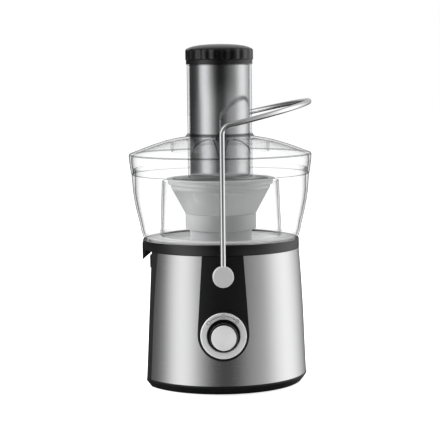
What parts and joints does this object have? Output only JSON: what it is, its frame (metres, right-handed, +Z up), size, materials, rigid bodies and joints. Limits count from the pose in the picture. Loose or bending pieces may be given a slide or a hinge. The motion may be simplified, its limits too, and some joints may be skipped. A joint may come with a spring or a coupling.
{
  "type": "centrifugal juicer",
  "caption": "Counter-top centrifugal juicer: steel motor base with dial, clear pulp container and lid with feed chute and pusher, spinning sieve basket and swinging wire locking arm.",
  "frame": {"origin": "on the table, under the middle of the machine's footprint", "axes": "+Z up along the motor shaft; the control panel faces -Y and the juice spout -X"},
  "size_m": [0.218, 0.2388, 0.403],
  "materials": {
    "steel": "brushed stainless",
    "black": "satin moulded black",
    "gloss": "gloss moulded black",
    "clear": "clear polished",
    "pale": "satin moulded off-white",
    "grey": "satin moulded grey",
    "sieve": "perforated stainless",
    "chrome": "bright plated",
    "satin": "satin spun",
    "smoked": "smoked metallised",
    "rubber": "matte moulded",
    "iron": "laminated, varnished",
    "copper": "enamelled winding",
    "zinc": "zinc plated"
  },
  "bodies": {
    "base": {"motor_housing": "black", "steel_sleeve": "steel", "front_panel": "black", "rear_panel": "black", "side_panel": "black", "top_collar": "black", "foot_skirt": "black", "bottom_cover": "black", "rubber_foot_1": "rubber", "rubber_foot_2": "rubber", "rubber_foot_3": "rubber", "rubber_foot_4": "rubber", "cover_screw_1": "zinc", "cover_screw_2": "zinc", "cover_screw_3": "zinc", "cord_inlet_grommet": "rubber", "dial_ring": "satin", "rotary_switch": "black", "interlock_microswitch": "black", "stator_core": "iron", "field_coil_front": "copper", "field_coil_rear": "copper", "upper_bearing": "zinc", "lower_bearing": "zinc", "upper_bearing_bracket": "zinc", "lower_bearing_bracket": "zinc", "brush_holder_left": "black", "brush_holder_right": "black", "motor_mount_1": "rubber", "motor_mount_2": "rubber", "motor_mount_3": "rubber", "motor_bolt_1": "zinc", "motor_bolt_2": "zinc", "shaft_seal": "rubber", "juice_tray": "pale", "juice_spout": "black", "pulp_container": "clear", "juice_collector": "clear", "lid": "clear"},
    "rotor": {"motor_shaft": "zinc", "armature": "copper", "commutator": "copper", "cooling_fan": "grey", "drive_coupling": "black", "basket_hub": "grey", "sieve_mesh": "sieve", "basket_rim": "grey", "grater_disc": "sieve"},
    "pusher": {"pusher_tube": "smoked", "pusher_cap": "gloss"},
    "speed_knob": {"knob_body": "gloss", "knob_face": "satin", "knob_shaft": "zinc"},
    "locking_arm": {"arm_bail": "chrome", "pivot_disc_front": "satin", "pivot_disc_rear": "satin", "pivot_pin_front": "zinc", "pivot_pin_rear": "zinc", "interlock_cam": "black"},
    "interlock_plunger_body": {"interlock_plunger": "grey"}
  },
  "joints": [
    {"name": "basket_spin", "type": "hinge", "parent": "base", "child": "rotor", "pos_m": [0, 0, 0.1], "axis": [0, 0, 1], "continuous": true},
    {"name": "pusher_slide", "type": "slide", "parent": "base", "child": "pusher", "axis": [0, 0, 1], "range_m": [0, 0.15]},
    {"name": "speed_turn", "type": "hinge", "parent": "base", "child": "speed_knob", "pos_m": [0, -0.09877, 0.07], "axis": [0, -0.9992, 0.041], "range_deg": [-45, 45]},
    {"name": "arm_swing", "type": "hinge", "parent": "base", "child": "locking_arm", "pos_m": [0, 0, 0.14], "axis": [0, 1, 0], "range_deg": [0, 90]},
    {"name": "interlock_slide", "type": "slide", "parent": "base", "child": "interlock_plunger_body", "axis": [0, 0, -1], "range_m": [0, 0.003]}
  ],
  "couplings": [
    {"joint": "interlock_slide", "follows": "arm_swing", "m_per_rad": 0.0019}
  ]
}
